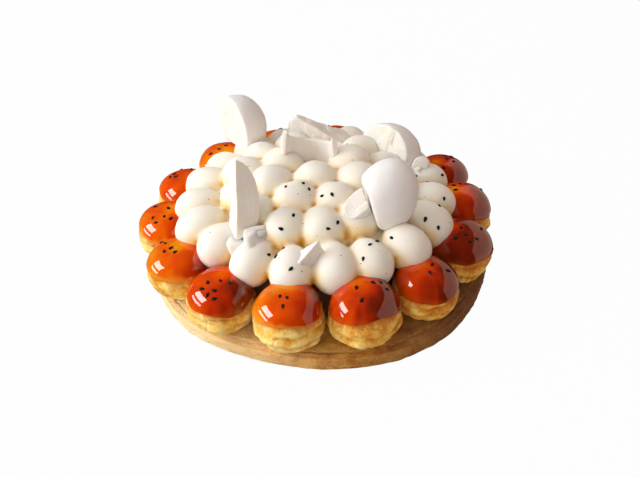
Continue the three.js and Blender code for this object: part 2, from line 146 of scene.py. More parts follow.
def base_skin():
    """The disc's section, out along the underside, up the edge and back over the top, turned round its axis.
    Relief pushes the skin along the section's own normal: broad lumps, flat flaky layers on the edge, a step
    down outside the ledge's wavering radius, and a groove that falls off as a bell curve about it."""
    arc = np.linspace(0, np.pi / 2, 7)
    inner = BASE_RADIUS - BASE_EDGE
    wall = np.linspace(BASE_EDGE, BASE_HEIGHT - BASE_EDGE, 18)[1:-1]
    top = np.concatenate([np.linspace(inner, 96 * MM, 40)[1:], np.linspace(96 * MM, 64 * MM, 22)[1:],
                          [40 * MM, 15 * MM, 0]])
    radius = np.concatenate([[0, 0.5 * inner, inner - 2 * MM], inner + BASE_EDGE * np.sin(arc),
                             np.full_like(wall, BASE_RADIUS), inner + BASE_EDGE * np.cos(arc), top])
    height = np.concatenate([[0, 0, 0], BASE_EDGE - BASE_EDGE * np.cos(arc), wall,
                             BASE_HEIGHT - BASE_EDGE + BASE_EDGE * np.sin(arc),
                             np.full_like(top, BASE_HEIGHT)])
    radius, height, out, up = section_of(radius, height)
    turn = whole_turn(BASE_TURNS)
    front = turn + np.pi / 2
    wave = 1 + BASE_WAVE * np.cos(4 * (front - BASE_WAVE_TURN))
    wave = wave + BASE_BACK_SWELL * np.maximum(0, -np.cos(front))
    plain = round_axis(radius * wave, turn, height)
    ring = round_axis(BASE_RADIUS, turn, 0)
    ledge = BASE_RADIUS - LEDGE_WIDTH + 1.2 * MM * grain(ring, 10 * MM, 5)
    ledge = ledge + 0.7 * MM * grain(ring, 3.5 * MM, 10)
    band = rise_between(ledge - 0.4 * MM, ledge + 0.4 * MM, radius)
    flat = np.clip(up, 0, 1)
    dry = 0.5 + 0.9 * grain(ring, 24 * MM, 6) - 0.5 * rise_between(0.2, 0.9, -np.cos(turn))
    crack = np.clip(dry, 0.05, 1) * flat * bell(radius - ledge, CRACK_WIDTH)
    flaky = 0.4 * np.clip(grain(plain, 4 * MM, 8) + 0.7 * grain(plain, 1.7 * MM, 11), 0, 1)
    # The lip: pale flakes on the raised edge of the top layer, partly a painted highlight where the edge
    # catches the light.
    lip = flaky * flat * bell(radius - ledge + 0.9 * MM, 0.5 * MM)
    layers = grain(plain * [0.16, 0.16, 2.2], 2 * MM, 3) * (1 - flat)
    lump = 0.55 * grain(plain, 8 * MM, 1) + 0.32 * grain(plain, 2.8 * MM, 2) + 0.35 * layers
    drop = LEDGE_DROP * band * flat * (0.5 + 0.5 * rise_between(ledge, BASE_RADIUS, radius))
    relief = rise_between(0, 1.2 * MM, height) * (MM * lump - drop - CRACK_DEPTH * crack)
    relief = relief * rise_between(0, 20 * MM, radius)
    place = round_axis(radius * wave + relief * out, turn, height + relief * up)
    uneven = 8 * MM * grain(plain, 14 * MM, 9)
    # Painted light and shade: the crust is drawn paler towards the left and darker towards the right.
    painted_light_left = rise_between(14 * MM, 98 * MM, plain @ np.array([-0.9, -0.3, 0.0]) + uneven)
    painted_shade_right = rise_between(-20 * MM, 95 * MM, plain @ np.array([0.95, -0.1, 0.0]) + uneven)
    return place + BASE_CENTRE, dict(band=band, crack=crack, lip=lip, painted_light_left=painted_light_left, painted_shade_right=painted_shade_right)


def feed(tree, sockets, inputs):
    """Gives each socket, by name or number, a value or another node's output."""
    for socket, value in inputs.items():
        if isinstance(value, bpy.types.NodeSocket):
            tree.links.new(value, sockets[socket])
        else:
            sockets[socket].default_value = value


def add(tree, kind, inputs, **settings):
    """A shader node with its settings and inputs."""
    made = tree.nodes.new(kind)
    for name, value in settings.items():
        setattr(made, name, value)
    feed(tree, made.inputs, inputs)
    return made


def ramp(tree, factor, *stops):
    """A colour that runs through the stops, each a place from 0 to 1 and a colour, as the factor grows."""
    made = add(tree, "ShaderNodeValToRGB", {"Fac": factor})
    band = made.color_ramp.elements
    for place, colour in stops[1:-1]:
        band.new(place).color = (*colour, 1)
    for element, (place, colour) in ((band[0], stops[0]), (band[-1], stops[-1])):
        element.position = place
        element.color = (*colour, 1)
    return made.outputs["Color"]


def mixed(tree, factor, first, second):
    """Two colours mixed, from the first at factor 0 to the second at factor 1."""
    inputs = {0: factor, 6: (*first, 1) if isinstance(first, tuple) else first,
              7: (*second, 1) if isinstance(second, tuple) else second}
    return add(tree, "ShaderNodeMix", inputs, data_type="RGBA").outputs[2]


def sums(tree, how, first, second, third=0.0):
    """One arithmetic step on values."""
    return add(tree, "ShaderNodeMath", {0: first, 1: second, 2: third}, operation=how).outputs[0]


def trait_of(tree, name, share=1.0):
    """A share of a number kept on the piece's own points."""
    trait = add(tree, "ShaderNodeAttribute", {}, attribute_name=name).outputs["Fac"]
    return trait if share == 1 else sums(tree, "MULTIPLY", trait, share)


def noise(tree, place, scale, detail, rough=0.5):
    """Soft random tones from 0 to 1, with this many blots to the metre."""
    inputs = {"Vector": place, "Scale": scale, "Detail": detail, "Roughness": rough}
    return add(tree, "ShaderNodeTexNoise", inputs).outputs["Fac"]


def cells(tree, place, scale):
    """The distance to the nearest of many scattered points, in cells of which so many make a metre."""
    return add(tree, "ShaderNodeTexVoronoi", {"Vector": place, "Scale": scale}).outputs["Distance"]


def spread(tree, value, low, high, start=0.0, end=1.0):
    """A value stretched evenly, low to start and high to end, and held there beyond."""
    inputs = {"Value": value, "From Min": low, "From Max": high, "To Min": start, "To Max": end}
    return add(tree, "ShaderNodeMapRange", inputs).outputs["Result"]


def finish_of(name):
    """A new material with its node tree, its shader and the piece's own coordinates."""
    finish = bpy.data.materials.new(name)
    finish.use_nodes = True
    tree = finish.node_tree
    here = add(tree, "ShaderNodeTexCoord", {}).outputs["Object"]
    return finish, tree, tree.nodes["Principled BSDF"].inputs, here


def effect(name, inputs, outputs):
    """An empty shader node group with number sockets and a place to work from, and its two end nodes."""
    tree = bpy.data.node_groups.new(name, "ShaderNodeTree")
    tree.interface.new_socket("Place", in_out="INPUT", socket_type="NodeSocketVector")
    for socket in inputs:
        tree.interface.new_socket(socket, in_out="INPUT", socket_type="NodeSocketFloat")
    for socket in outputs:
        tree.interface.new_socket(socket, in_out="OUTPUT", socket_type="NodeSocketFloat")
    return tree, add(tree, "NodeGroupInput", {}).outputs, add(tree, "NodeGroupOutput", {}).inputs


def oven_mottle():
    """Uneven browning. Tone mixes broad patches and small flecks of noise, and Relief is a fine crumb with
    round pits where Voronoi cells have their middles."""
    tree, given, wanted = effect("oven_mottle", ["Patches", "Flecks"], ["Tone", "Relief"])
    broad = noise(tree, given["Place"], given["Patches"], 4.0)
    small = noise(tree, given["Place"], given["Flecks"], 5.0, 0.65)
    pits = sums(tree, "MINIMUM", cells(tree, given["Place"], given["Flecks"]), 0.45)
    shared = sums(tree, "MULTIPLY_ADD", broad, 0.6, sums(tree, "MULTIPLY", small, 0.4))
    feed(tree, wanted, {"Tone": spread(tree, shared, 0.37, 0.63),
                        "Relief": sums(tree, "MULTIPLY_ADD", small, 1.2, pits)})
    return tree


def use(tree, shared, place, **values):
    """A shared effect placed in a material, with its own values."""
    return add(tree, "ShaderNodeGroup", {"Place": place, **values}, node_tree=shared).outputs


def bumped(tree, height, distance, strength=1.0):
    """A normal tilted by a height that stands for this distance at 1."""
    bump = add(tree, "ShaderNodeBump", {"Height": height, "Distance": distance, "Strength": strength})
    return bump.outputs["Normal"]


def base_finish():
    """Tan crust, plainer outside the ledge, with painted light that makes the left paler, painted shade that
    darkens the right and the crack, and flakes on the lip that are paler and partly a painted highlight.
    """
    finish, tree, shader, here = finish_of("baked_base")
    baked = use(tree, mottle, here, Patches=130.0, Flecks=640.0)
    top = ramp(tree, baked["Tone"], (0.0, BASE_BROWN), (0.45, BASE_TAN), (1.0, BASE_PALE))
    crust = mixed(tree, trait_of(tree, "band"), top, ramp(tree, baked["Tone"], *BASE_SIDE))
    # Painted light on the left and painted shade on the right.
    light = mixed(tree, trait_of(tree, "painted_light_left", 0.9), crust, BASE_FLOUR_AND_LIGHT)
    dark = mixed(tree, trait_of(tree, "painted_shade_right", 0.88), light, BASE_SHADE_RIGHT)
    # Pale flakes on the lip, partly a painted highlight.
    flaky_lit_lip = mixed(tree, trait_of(tree, "lip"), dark, BASE_FLOUR_AND_LIGHT)
    # The crack is drawn dark as painted shade in its groove.
    feed(tree, shader, {
        "Base Color": mixed(tree, trait_of(tree, "crack"), flaky_lit_lip, BASE_CRACK_SHADE),
        "Normal": bumped(tree, baked["Relief"], 0.6 * MM),
        "Roughness": 0.66, "Specular IOR Level": 0.14})
    return finish


mottle = oven_mottle()
base_place, base_traits = base_skin()
base = wrapped("baked_base_disc", base_place, **base_traits)
base.data.materials.append(base_finish())
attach(base, "root")
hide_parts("base")

# Puffs: balls of choux dough that swell and crack as they bake, filled and set in a ring on the base.
# The crust is pale gold with browner patches, drawn in by a fold low on the side, and stained by caramel.
# Painted shade darkens its folds and cracks, and painted light makes its bulges paler; it is also drawn paler
# towards the foot.
PUFF_COUNT = 14
RING_RADIUS = 92.8 * MM
FIRST_PUFF_ANGLE = -9.6
PUFF_RADII = [20, 20.3, 19, 19.8, 19.6, 19, 19.3, 19.6, 19.4, 19.7, 19.8, 19.8, 19.6, 19.6]
PUFF_HEIGHTS = [31, 31.5, 29, 31, 31, 27.5, 29, 29, 28.5, 30, 28.5, 29, 28.8, 29.5]
STRAY_PUFF = 5
STRAY_OUTSET = 5.5 * MM
PUFF_SEAT = 9.8 * MM
PUFF_TURNS = 150
BELLY_HEIGHT = 12 * MM
CROWN_POWER = 3.5
FOOT_SHARE = 0.5
FOLD_LEVEL = 0.62
CAP_REACHES = [0.85, 0.84, 0.92, 0.95, 0.95, 0.95, 0.93, 0.92, 0.93, 0.92, 0.92, 0.88, 0.92, 0.92]
CAP_SIDE_REACH = 0.95
CAP_REACH_LIMIT = 0.955
FOLD_DEPTH = 2.6 * MM
PUFF_BAKE = [0.0, 0.4, 0.55, 0.45, 0.3, 0.3, 0.2, 0.3, 0.3, 0.2, 0.25, 0.0, 0.2, 0.1]
PUFF_CREAMY = (0.99, 0.79, 0.31)
PUFF_PALE = (0.97, 0.62, 0.13)
PUFF_GOLD = (0.84, 0.38, 0.05)
PUFF_BROWN = (0.56, 0.19, 0.018)
PUFF_FOLD_SHADE = (0.66, 0.22, 0.012)
PUFF_STAIN = (0.60, 0.15, 0.006)


def draw(i, k):
    """One fixed draw between -1 and 1 for thing number i and trait number k."""
    wide = np.sin(i * 12.9898 + k * 78.233) * 43758.5453
    return 2 * (wide - np.floor(wide)) - 1


def puff_traits(i):
    """One puff's own numbers: its place on the ring, its size, its two leans and its lumps."""
    return SimpleNamespace(
        index=i,
        angle=np.radians(FIRST_PUFF_ANGLE + i * 360 / PUFF_COUNT),
        ring=RING_RADIUS + (STRAY_OUTSET if i == STRAY_PUFF else 0),
        radius=PUFF_RADII[i] * MM,
        height=PUFF_HEIGHTS[i] * MM,
        lean=0.085 + 0.025 * draw(i, 1),
        side_lean=0.035 * draw(i, 2),
        phases=[3 * draw(i, 3), 3 * draw(i, 4), 3 * draw(i, 5)],
    )


def settled(puff, turn, radius, height):
    """A place on a puff in the cake's frame. The outline swells by two, three and five waves a turn, the
    whole shears outwards with height, the crown tips with it, and the foot stays flat."""
    first, second, third = puff.phases
    lump = 1 + 0.018 * np.sin(2 * turn + first) + 0.012 * np.sin(3 * turn + second)
    lump = lump + 0.008 * np.sin(5 * turn + third)
    x, y = radius * lump * np.cos(turn), radius * lump * np.sin(turn)
    sink = (puff.lean * y - puff.side_lean * x) * height / puff.height
    x, y, z = x + puff.side_lean * height, y - puff.lean * height, height + sink
    cos, sin = np.cos(puff.angle), np.sin(puff.angle)
    return np.stack([x * cos - y * sin + puff.ring * sin, x * sin + y * cos - puff.ring * cos,
                     z + PUFF_SEAT], -1)


def cap_reach(puff, turn):
    """How far down the crown the caramel runs, as a share of the puff's radius: each puff's own on the side
    away from the cake's middle, going over with the square of the cosine to the sides next to other puffs."""
    first, second, _ = puff.phases
    outer = CAP_REACHES[puff.index]
    even = outer + (CAP_SIDE_REACH - outer) * np.cos(turn) ** 2
    wave = 0.02 * (0.6 * np.sin(2 * turn + second) + 0.4 * np.sin(5 * turn + first))
    return np.minimum(even + wave, CAP_REACH_LIMIT)


def puff_skin(puff):
    """The section of a puff turned round its axis: a flat foot, a quarter ellipse up to the belly with a fold
    drawn into it, and a crown whose height is the root of 1 - share^3.5. Relief pushes along the section's
    normal: lumps of two sizes, a wavering fold and fine cracks, all fading out under the caramel."""
    lower = np.linspace(0, np.pi / 2, 52)
    upper = np.linspace(0, np.pi / 2, 52)[1:]
    share = np.cos(upper[:-1]) ** (2 / CROWN_POWER)
    rise = puff.height - BELLY_HEIGHT
    side = FOOT_SHARE + (1 - FOOT_SHARE) * np.sin(lower)
    radius = puff.radius * np.concatenate([[0, 0.25, 0.42], side, share, [0]])
    height = np.concatenate([[0, 0, 0], BELLY_HEIGHT * (1 - np.cos(lower)),
                             BELLY_HEIGHT + rise * np.sin(upper)])
    crown = np.concatenate([np.full(3 + len(lower), 1.0), share, [0]])[:, None]
    radius, height, out, up = section_of(radius, height)
    turn = whole_turn(PUFF_TURNS)
    plain = round_axis(radius, turn, height)
    ring = round_axis(puff.radius, turn, 0)
    seed = 10 * puff.index
    level = height / BELLY_HEIGHT
    slope = 0.14 * np.sin(turn + 3 * draw(puff.index, 6))
    waver = FOLD_LEVEL + slope + 0.17 * grain(ring, 13 * MM, seed) + 0.07 * grain(ring, 4.5 * MM, seed + 1)

    def folded(above, depth):
        sharp = np.where(above < 0, 0.17, 0.045)
        return depth * (bell(above, sharp) - 0.4 * bell(above - 0.24, 0.17))

    fold = folded(level - waver, np.clip(0.65 + 1.1 * grain(ring, 11 * MM, seed + 2), 0.1, 1.3))
    fold = fold + folded(level - waver - 0.55, np.clip(0.1 + 1.1 * grain(ring, 12 * MM, seed + 3), 0, 0.8))
    fold = fold + folded(level - 0.45 * waver + 0.05, np.clip(1.1 * grain(ring, 9 * MM, seed + 10), 0, 0.7))
    line = grain(plain * [1, 1, 0.6], 7 * MM, seed + 4)
    open_crack = rise_between(0.0, 0.3, grain(plain, 11 * MM, seed + 5))
    crack = open_crack * bell(line, 0.07)
    lump = 0.75 * grain(plain, 8 * MM, seed + 6) + 0.42 * grain(plain, 3.4 * MM, seed + 7)
    lump = lump + 0.2 * grain(plain, 1.6 * MM, seed + 8)
    reach = cap_reach(puff, turn)
    bare = rise_between(reach, 0.4 * reach + 0.6, crown) * rise_between(0, 0.08, level)
    relief = bare * (lump * MM - FOLD_DEPTH * fold - 0.8 * MM * crack)
    place = settled(puff, turn, radius + relief * out, height + relief * up)
    below = (puff.height - (height - relief)) / puff.height
    runs = 0.07 + 0.05 * grain(ring, 5 * MM, seed + 9) + 0.03 * grain(ring, 2 * MM, seed + 11)
    rim = (1 - reach ** CROWN_POWER) ** 0.5
    drop = 1 - (BELLY_HEIGHT + rise * rim) / puff.height
    stain = 1 - rise_between(drop - 0.01, drop + 2.6 * runs, below)
    # Painted shade: the folds and cracks are drawn darker amber.
    hollow = bare * np.clip(fold + 0.8 * crack, 0, 1)
    # Painted light and shade: paler where the skin bulges and darker in the folds; also paler towards the
    # foot.
    ridge = np.clip(0.5 + 0.6 * lump - 0.5 * fold, 0, 1) + 0.25 * (1 - rise_between(0.3, 1.0, level))
    return place, stain, hollow, ridge


def puff_finish():
    """Pale gold crust with browner patches, painted lighter on its bulges, painted darker amber as shade in
    the folds and cracks, orange where caramel has run.
    """
    finish, tree, shader, here = finish_of("choux_crust")
    baked = use(tree, mottle, here, Patches=150.0, Flecks=700.0)
    # Painted light and shade from the skin's relief.
    tone = sums(tree, "MULTIPLY_ADD", baked["Tone"], 0.6, trait_of(tree, "ridge", 0.55))
    tone = sums(tree, "SUBTRACT", tone, trait_of(tree, "bake", 0.5))
    crust = ramp(tree, tone, (0.0, PUFF_BROWN), (0.26, PUFF_GOLD), (0.5, PUFF_PALE), (0.82, PUFF_CREAMY))
    # Painted shade in the folds and cracks.
    soft = mixed(tree, trait_of(tree, "hollow", 0.6), crust, PUFF_FOLD_SHADE)
    feed(tree, shader, {
        "Base Color": mixed(tree, trait_of(tree, "stain", 0.85), soft, PUFF_STAIN),
        "Normal": bumped(tree, baked["Relief"], 0.5 * MM),
        "Roughness": 0.5, "Specular IOR Level": 0.2})
    return finish


puffs = [puff_traits(i) for i in range(PUFF_COUNT)]
crust_finish = puff_finish()
for puff in puffs:
    puff_place, puff_stain, puff_hollow_shade, puff_ridge = puff_skin(puff)
    choux = wrapped(f"choux_puff_{puff.index + 1:02d}", puff_place, stain=puff_stain, hollow=puff_hollow_shade,
                    ridge=puff_ridge, bake=PUFF_BAKE[puff.index])
    choux.data.materials.append(crust_finish)
    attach(choux, "root")
    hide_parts(f"puff_{puff.index + 1:02d}")

# Caramel caps: each puff was dipped crown down in hot caramel, which ran and set to a hard clear glaze.
# The glaze is thin and amber on the crown and thickens to a deep red bead round its rim.
# Painted shade darkens it towards each cap's right side; some caps are boiled darker and carry more painted
# shade.
CAP_INSIDE = 0.42 * MM
CAP_OUTSIDE = 1.62 * MM
CAP_THINNING = 0.75 * MM
CAP_BEAD = 0.1 * MM
CAP_TURNS = 128
CAP_FILM = (0.86, 0.33, 0.025)
CAP_AMBER = (0.80, 0.30, 0.003)
CAP_ORANGE = (0.78, 0.085, 0.001)
CAP_RED = (0.48, 0.021, 0.001)
CAP_DARK = (0.12, 0.005, 0.001)
# How much darker each cap's caramel is drawn: partly boiled darker, partly painted shade where the cream
# shades the cap.
CAP_BOIL_AND_SHADE = [0.3, 1.9, 2.0, 3.4, 1.6, 2.0, 1.0, 0.6, 0.3, 0.0, 1.1, 0.2, -0.1, 1.5]


def crown_point(puff, share, lift):
    """Radius and height on the crown at a share of the puff's radius, pushed out square to it by a lift."""
    rise = puff.height - BELLY_HEIGHT
    drop = np.sqrt(1 - share ** CROWN_POWER)
    slope = rise * (CROWN_POWER / 2) * share ** (CROWN_POWER - 1) / (puff.radius * drop)
    length = np.hypot(slope, 1)
    return share * puff.radius + lift * slope / length, BELLY_HEIGHT + rise * drop + lift / length


def cap_outside(share):
    """How far the glaze's outside lies from the crown, thinning towards the rim with the fourth power."""
    return CAP_OUTSIDE - CAP_THINNING * share ** 4


def cap_skin(puff):
    """A skin over the crown: out along its underside, round a half circle at the rim, and back over the top.
    The rim follows the reach of the caramel, with a bead behind it, and the top waves very slightly."""
    turn = whole_turn(CAP_TURNS)
    ring = round_axis(puff.radius, turn, 0)
    seed = 300 + 10 * puff.index
    reach = cap_reach(puff, turn) + 0.006 * grain(ring, 5 * MM, seed)
    under = np.sin(np.linspace(0, np.pi / 2, 14))[:-1, None]
    bend = np.linspace(-np.pi / 2, np.pi / 2, 11)[:, None]
    over = np.sin(np.linspace(np.pi / 2, 0, 44))[1:, None]
    share = np.concatenate([under * reach, reach + 0.008 * np.cos(bend), over * reach])
    plain = round_axis(share, turn, 0 * share) * puff.radius
    side = np.concatenate([0 * under - 1, np.sin(bend), 0 * over + 1])
    rim = np.concatenate([1 - under, 0 * bend, 1 - over])
    outside = cap_outside(share) + CAP_BEAD * bell(rim, 0.1)
    wave = 0.07 * MM * grain(plain, 9 * MM, seed + 1) + 0.02 * MM * grain(plain, 3 * MM, seed + 2)
    lift = (CAP_INSIDE + outside) / 2 + side * (outside - CAP_INSIDE) / 2
    outer = np.concatenate([0 * under, rise_between(0, np.pi / 2, bend), 1 + 0 * over])
    lift = lift + outer * wave
    radius, height = crown_point(puff, share, lift)
    streak = grain(plain * [1, 1, 0], 6 * MM, seed + 3) + 0.5 * grain(plain, 2.5 * MM, seed + 4)
    spot = bell(np.hypot(share * np.cos(turn), share * np.sin(turn) - 0.3), 0.36)
    # Painted shade: each cap's glaze is drawn darker towards its right side.
    right = share * np.cos(turn + puff.angle)
    runs = share ** 3 * grain(ring, 3.5 * MM, seed + 6)
    thin = 0.45 + 0.7 * grain(ring, 9 * MM, seed + 5) + 0.3 * grain(ring, 3.4 * MM, seed + 7)
    film = 1 - rise_between(0.0, 0.02 + 0.13 * np.clip(thin, 0, 1), rim)
    # The rim's film is weaker on the darker caps, which carry painted shade.
    film = film * np.clip(1 - 0.55 * CAP_BOIL_AND_SHADE[puff.index], 0.12, 1)
    thick = 0.45 + 0.3 * right + 0.3 * np.maximum(right, 0) ** 1.5 - 0.5 * spot
    thick = np.clip(thick + 0.11 * streak + 0.16 * runs + 0.2 * CAP_BOIL_AND_SHADE[puff.index], 0, 1)
    return settled(puff, turn, radius, height), dict(thick=thick, film=film, dull=spot)


def caramel_finish():
    """Amber to deep red glaze by thickness and painted shade, with a hard wet gloss and a few trapped
    bubbles.
    """
    finish, tree, shader, here = finish_of("caramel_glaze")
    colour = ramp(tree, trait_of(tree, "thick"), (0.06, CAP_AMBER), (0.4, CAP_ORANGE), (0.78, CAP_RED),
                  (1.0, CAP_DARK))
    cloud = sums(tree, "MULTIPLY", noise(tree, here, 160.0, 4.0), 0.2)
    tinted = mixed(tree, cloud, colour, CAP_ORANGE)
    bubbles = spread(tree, cells(tree, here, 420.0), 0.16, 0.04)
    feed(tree, shader, {
        "Base Color": mixed(tree, trait_of(tree, "film", 0.75), tinted, CAP_FILM),
        "Normal": bumped(tree, bubbles, 0.06 * MM, 0.5),
        "Roughness": 0.3, "Specular IOR Level": 0.0,
        "Coat Weight": sums(tree, "MULTIPLY_ADD", trait_of(tree, "dull"), -0.6, 1.0),
        "Coat Roughness": 0.03, "Coat IOR": 1.75})
    return finish


glaze = caramel_finish()
for puff in puffs:
    cap_place, cap_traits = cap_skin(puff)
    cap = wrapped(f"caramel_cap_{puff.index + 1:02d}", cap_place, **cap_traits)
    cap.data.materials.append(glaze)
    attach(cap, "root")
    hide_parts(f"caramel_{puff.index + 1:02d}")

# Cream: whipped cream piped in rings of fat eggs over a core, the outer ends drooping between the puffs.
# It is ivory and smooth with fine pores, and the creases between the eggs go deep.
# Painted shade draws the creases and the sideways faces near them yellow, and the low foot between the puffs
# dark red-brown.
CREAM_RINGS = [
    dict(count=19, first=7, radius=73.5, level=42, long=16, wide=13.2, high=13, dip=25),
    dict(count=13, first=4.5, radius=47, level=51.5, long=15, wide=13, high=12.5, dip=15),
    dict(count=7, first=-28, radius=27.5, level=57, long=14, wide=13.8, high=12, dip=8),
    dict(count=1, first=0, radius=4, level=58, long=15, wide=15, high=13, dip=0),
]
SUNK_EGGS = {25: 8, 36: 9}
BLOB_TAPER = 0.13
CORE_RADIUS = 69 * MM
CORE_SINK = 3 * MM
CREAM_NET = 1.25 * MM
CREAM_RELAX_ROUNDS = 5
CREAM_IVORY = [(0.35, (0.94, 0.88, 0.80)), (0.65, (0.94, 0.895, 0.845))]
CREAM_WARM_SHADE = (0.91, 0.70, 0.30)
CREAM_CREASE_SHADE = (0.70, 0.40, 0.045)
CREAM_SPECK = (0.06, 0.045, 0.03)
CREAM_FOOT_SHADE = (0.26, 0.075, 0.015)


def turned(axis, angle):
    """The rotation matrix about one axis."""
    return np.array(Matrix.Rotation(angle, 3, axis))


def cream_blobs():
    """Every egg of cream: its middle, its turn and its half sizes, each ring with small fixed scatter."""
    blobs = []
    for ring in CREAM_RINGS:
        for i in range(ring["count"]):
            k = len(blobs)
            loose = 1 if ring["count"] > 1 else 0
            angle = np.radians(ring["first"] + i * 360 / ring["count"] + loose * 2 * draw(k, 11))
            size = 1 + 0.06 * draw(k, 12)
            radius = ring["radius"] + loose * 1.8 * draw(k, 13)
            level = ring["level"] + 1.1 * draw(k, 14) - SUNK_EGGS.get(k, 0)
            blobs.append(SimpleNamespace(
                middle=np.array([radius * np.sin(angle), -radius * np.cos(angle), level]) * MM,
                turn=turned("Z", angle) @ turned("X", np.radians(ring["dip"])),
                half=np.array([ring["wide"], ring["long"], ring["high"]]) * size * MM))
    return blobs


def blob_point(blob, facing):
    """Where a unit direction meets an egg: an ellipsoid whose width and height grow towards its outer end."""
    swell = 1 - BLOB_TAPER * facing[..., 1]
    local = facing * blob.half * np.stack([swell, np.ones_like(swell), swell], -1)
    return local @ blob.turn.T + blob.middle


def blob_depth(blob, place):
    """How deep places lie in an egg: under 1 inside it, 1 on its skin and more outside."""
    local = (place - blob.middle) @ blob.turn / blob.half
    swell = 1 - BLOB_TAPER * np.clip(local[..., 1], -1, 1)
    return np.sqrt((local[..., 0] / swell) ** 2 + local[..., 1] ** 2 + (local[..., 2] / swell) ** 2)


def ball(rows, columns):
    """Unit directions on a grid from the lowest to the highest."""
    tilt = np.linspace(-np.pi / 2, np.pi / 2, rows)[:, None]
    level = np.cos(tilt)
    level[[0, -1]] = 0
    return round_axis(level, whole_turn(columns), np.sin(tilt))


def blob_skin(blob, number):
    """An egg with a soft uneven swell, so that no two are quite alike."""
    facing = ball(36, 56)
    uneven = 1 + 0.03 * grain(facing, 0.9, 700 + number) + 0.012 * grain(facing, 0.4, 800 + number)
    return blob.middle + (blob_point(blob, facing) - blob.middle) * uneven[..., None]


def core_skin():
    """A low mound turned round the cake's axis, which the eggs rest on and hide."""
    share = np.array([0, 0.5, 1, 1, 1, 0.9, 0.75, 0.6, 0.45, 0.3, 0.15, 0])
    level = np.array([9.8, 9.8, 9.8, 25, 44, 47, 51, 54.4, 56.2, 57.8, 59.2, 60]) * MM
    level = level - CORE_SINK * (level > 30 * MM)
    return round_axis((share * CORE_RADIUS)[:, None], whole_turn(72), level[:, None])


def settle_modifiers(piece):
    """Turns what the modifiers make of a piece into its own mesh."""
    bpy.context.view_layer.update()
    made = bpy.data.meshes.new_from_object(piece.evaluated_get(bpy.context.evaluated_depsgraph_get()))
    piece.modifiers.clear()
    old = piece.data
    piece.data = made
    bpy.data.meshes.remove(old)


def soften(piece):
    """An even net laid over the piece and relaxed, which rounds the creases as soft cream does."""
    net = piece.modifiers.new("net", "REMESH")
    net.mode = "VOXEL"
    net.voxel_size = CREAM_NET
    relax = piece.modifiers.new("relax", "SMOOTH")
    relax.factor = 0.5
    relax.iterations = CREAM_RELAX_ROUNDS
    settle_modifiers(piece)


def joined(piece, other):
    """Two closed skins made one, with what lies inside taken away."""
    union = piece.modifiers.new("union", "BOOLEAN")
    union.operation = "UNION"
    union.solver = "MANIFOLD"
    union.object = other
    settle_modifiers(piece)
    spare = other.data
    bpy.data.objects.remove(other)
    bpy.data.meshes.remove(spare)


def fine_pores():
    """Tiny pits and a faint unevenness on a smooth skin: noise, less the middles of small Voronoi cells."""
    tree, given, wanted = effect("fine_pores", ["Pores"], ["Relief"])
    soft = noise(tree, given["Place"], given["Pores"], 3.0)
    pits = spread(tree, cells(tree, given["Place"], given["Pores"]), 0.05, 0.22)
    feed(tree, wanted, {"Relief": sums(tree, "MULTIPLY_ADD", soft, 0.5, pits)})
    return tree


def cream_finish():
    """Ivory with a few dark specks, with painted yellow shade in the creases and on the sideways faces near
    them, and painted dark red-brown shade low between the puffs; soft with light that comes out warmer.
    """
    finish, tree, shader, here = finish_of("whipped_cream")
    ivory = ramp(tree, noise(tree, here, 60.0, 3.0), *CREAM_IVORY)
    warm = mixed(tree, trait_of(tree, "hollow"), ivory, CREAM_WARM_SHADE)
    deep = mixed(tree, trait_of(tree, "crease_shade"), warm, CREAM_CREASE_SHADE)
    # Painted shade at the foot between the puffs.
    stained = mixed(tree, trait_of(tree, "stain"), deep, CREAM_FOOT_SHADE)
    speck = spread(tree, cells(tree, here, 140.0), 0.06, 0.042)
    skin = use(tree, pores, here, Pores=330.0)
    feed(tree, shader, {
        "Base Color": mixed(tree, speck, stained, CREAM_SPECK),
        "Normal": bumped(tree, skin["Relief"], 0.09 * MM, 0.6),
        "Roughness": 0.42, "Specular IOR Level": 0.3, "Subsurface Weight": 1.0,
        "Subsurface Radius": (1.0, 0.8, 0.6), "Subsurface Scale": 1.8 * MM})
    return finish


pores = fine_pores()
blobs = cream_blobs()
cream = wrapped("piped_cream", core_skin())
for number, blob in enumerate(blobs):
    joined(cream, wrapped(f"cream_egg_{number:02d}", blob_skin(blob, number)))
soften(cream)
spots = np.zeros(len(cream.data.vertices) * 3)
cream.data.vertices.foreach_get("co", spots)
spots = spots.reshape(-1, 3)
depths = np.sort(np.stack([blob_depth(blob, spots) for blob in blobs], -1), -1)
normals = np.zeros(spots.size)
cream.data.vertex_normals.foreach_get("vector", normals)
# Painted shade: faces turned sideways or down, the crease lines and the pits where three eggs meet are drawn
# yellow to brown.
sideways = 1 - rise_between(0.0, 0.75, normals.reshape(-1, 3)[:, 2])
shaded = 0.15 + 0.85 * sideways
between = depths[:, 1] - depths[:, 0]
line = 1 - rise_between(0.0, 0.3, between)
pit = 1 - rise_between(0.02, 0.3, depths[:, 2] - depths[:, 0])
# Painted shade: the cream's low outer foot, between the puffs, is drawn dark red-brown.
outer = rise_between(62 * MM, 70 * MM, np.hypot(spots[:, 0], spots[:, 1]))
cream_traits = {
    "crease_shade": np.clip(line * shaded + 0.85 * pit, 0, 1),
    "hollow": shaded * (1 - rise_between(0.0, 0.85, between)),
    "stain": 0.9 * outer * (1 - rise_between(28 * MM, 37 * MM, spots[:, 2])),
}
for trait, value in cream_traits.items():
    cream.data.attributes.new(trait, "FLOAT", "POINT").data.foreach_set("value", value)
cream.data.shade_smooth()
cream.data.materials.clear()
cream.data.materials.append(cream_finish())
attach(cream, "root")
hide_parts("cream")

